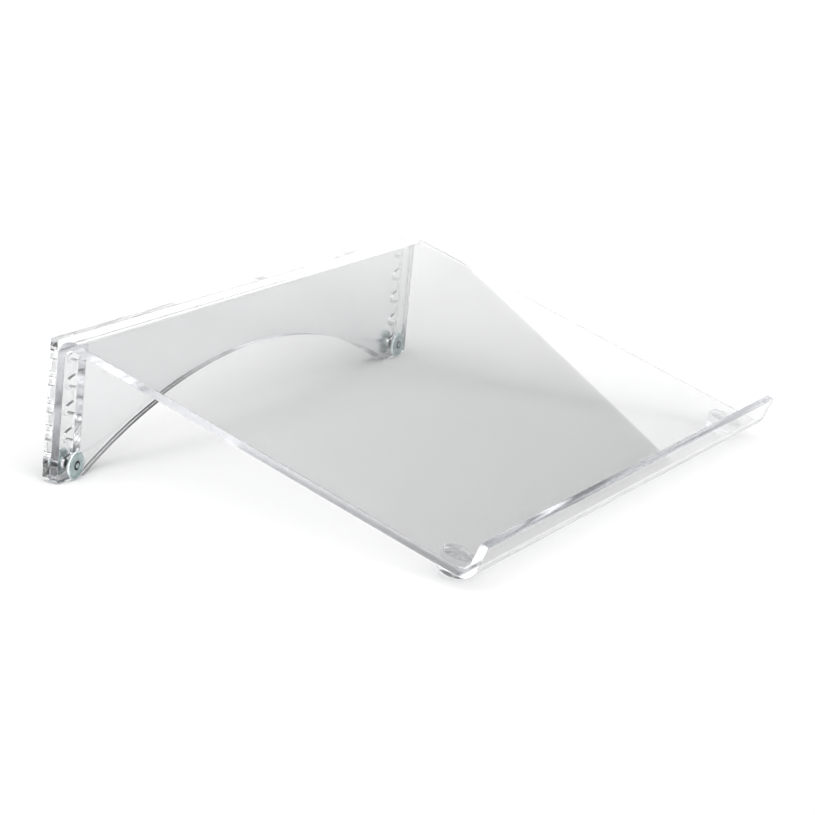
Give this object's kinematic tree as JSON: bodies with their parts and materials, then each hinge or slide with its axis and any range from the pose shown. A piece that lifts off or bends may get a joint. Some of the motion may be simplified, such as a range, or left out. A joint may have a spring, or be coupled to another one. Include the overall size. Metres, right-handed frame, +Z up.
{
  "type": "sloped display rest",
  "caption": "Clear bent-sheet display rest: sloped plate with a front lip, arched rear flange and height-setting rear panel held by thumb screws",
  "frame": {"origin": "on the floor under the middle of the overall box", "axes": "+X along the width to the right as seen from the front, +Y from the lip towards the rear panel, +Z up"},
  "size_m": [0.5, 0.3474, 0.1022],
  "materials": {
    "clear_sheet": "clear cast acrylic, polished faces and edges",
    "clear_panel": "clear cast acrylic, polished faces and cut edges",
    "plated_nut": "bright zinc-plated steel, knurled rim",
    "plated_screw": "bright zinc-plated steel, knurled rim",
    "clear_bumper": "clear soft polyurethane"
  },
  "bodies": {
    "sheet": {"sheet": "clear_sheet", "foot_left": "clear_bumper", "foot_right": "clear_bumper"},
    "rear_panel": {"rear_panel": "clear_panel"},
    "screw_left": {"screw_left": "plated_screw"},
    "screw_right": {"screw_right": "plated_screw"},
    "nut_left": {"nut_left": "plated_nut"},
    "nut_right": {"nut_right": "plated_nut"}
  },
  "joints": [
    {"name": "panel_unlatch", "type": "slide", "parent": "sheet", "child": "rear_panel", "axis": [-0.9659, 0, -0.2588], "range_m": [0, 0.008]},
    {"name": "screw_left_turn", "type": "hinge", "parent": "sheet", "child": "screw_left", "pos_m": [-0.2315, 0.1679, 0.011], "axis": [0, -1, 0], "range_deg": [-1350, 0]},
    {"name": "screw_right_turn", "type": "hinge", "parent": "sheet", "child": "screw_right", "pos_m": [0.2315, 0.1679, 0.011], "axis": [0, -1, 0], "range_deg": [-1350, 0]},
    {"name": "nut_left_travel", "type": "slide", "parent": "sheet", "child": "nut_left", "axis": [0, -1, 0], "range_m": [0, 0.003]},
    {"name": "nut_right_travel", "type": "slide", "parent": "sheet", "child": "nut_right", "axis": [0, -1, 0], "range_m": [0, 0.003]}
  ],
  "couplings": [
    {"joint": "screw_left_turn", "follows": "nut_left_travel", "rad_per_m": -7854},
    {"joint": "screw_right_turn", "follows": "nut_right_travel", "rad_per_m": -7854}
  ]
}
